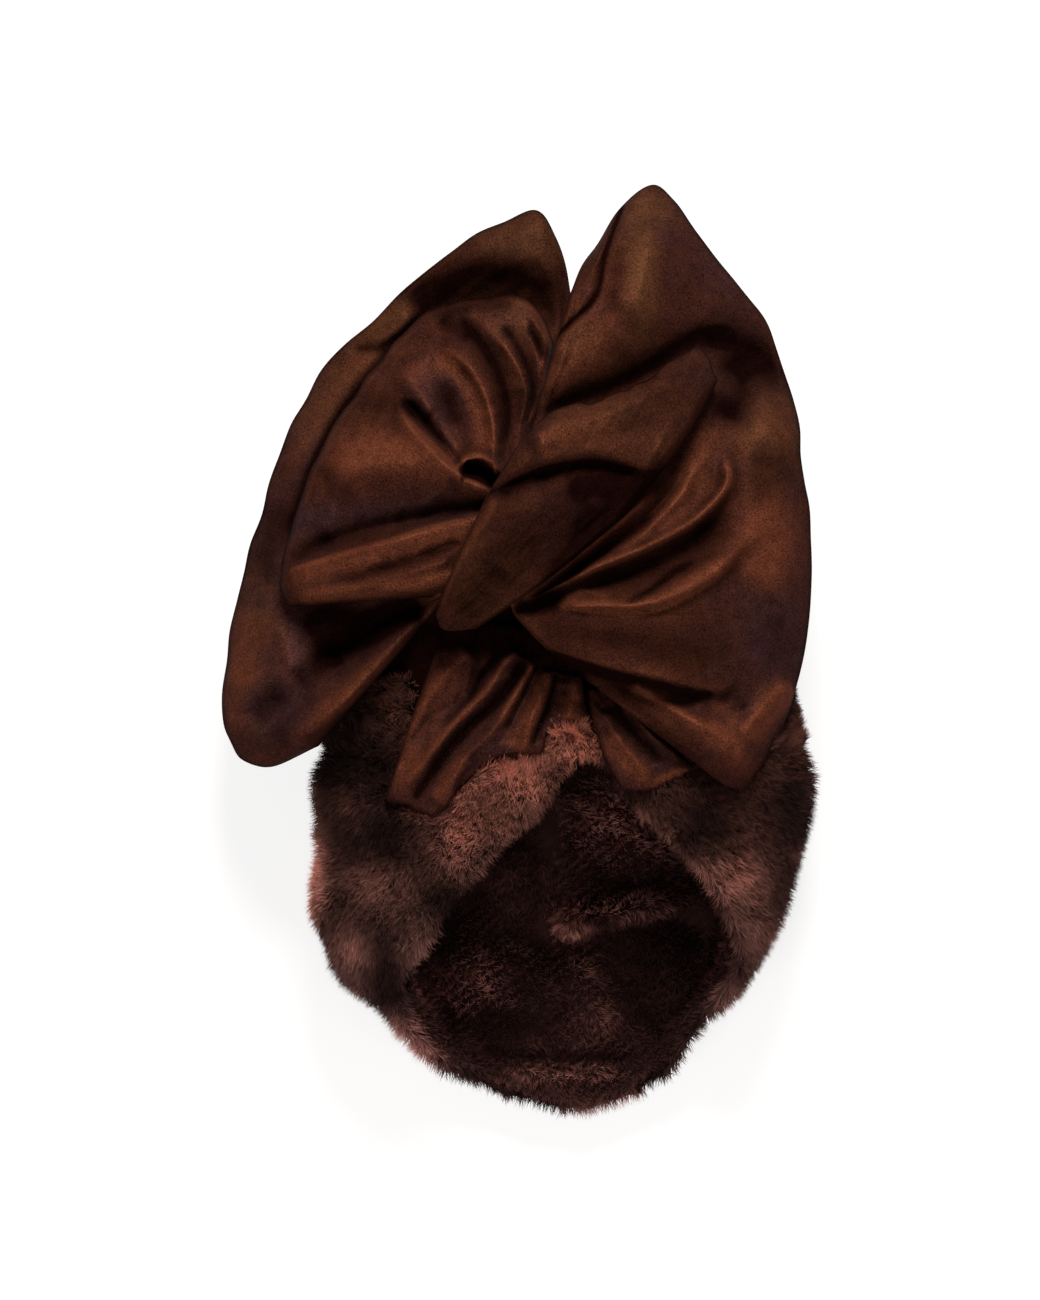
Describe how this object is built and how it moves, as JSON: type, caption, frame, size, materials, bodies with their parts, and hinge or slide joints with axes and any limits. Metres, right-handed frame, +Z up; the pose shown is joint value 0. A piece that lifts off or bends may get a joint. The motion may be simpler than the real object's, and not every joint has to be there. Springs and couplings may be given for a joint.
{
  "type": "turban headwrap",
  "caption": "Satin headwrap with a padded bow on its front and a fur band round a fur-lined head opening, lying on its back.",
  "frame": {"origin": "on the surface it lies on, under the middle of its outline", "axes": "+Y from the nape to the bow's tips, +X to the right of someone who looks at its front, +Z up, out of the front"},
  "size_m": [0.2953, 0.4629, 0.1332],
  "materials": {
    "satin": "shot satin, soft copper sheen",
    "fur": "short plush fur, dark tips over rose brown",
    "lining_fur": "short dark fur"
  },
  "bodies": {
    "root": {"fur_band": "fur", "fur_lining": "lining_fur", "crown": "satin", "front_gathers": "satin", "side_gather": "satin", "left_loop": "satin", "left_fold": "satin", "right_loop": "satin", "knot_band": "satin"}
  },
  "joints": []
}
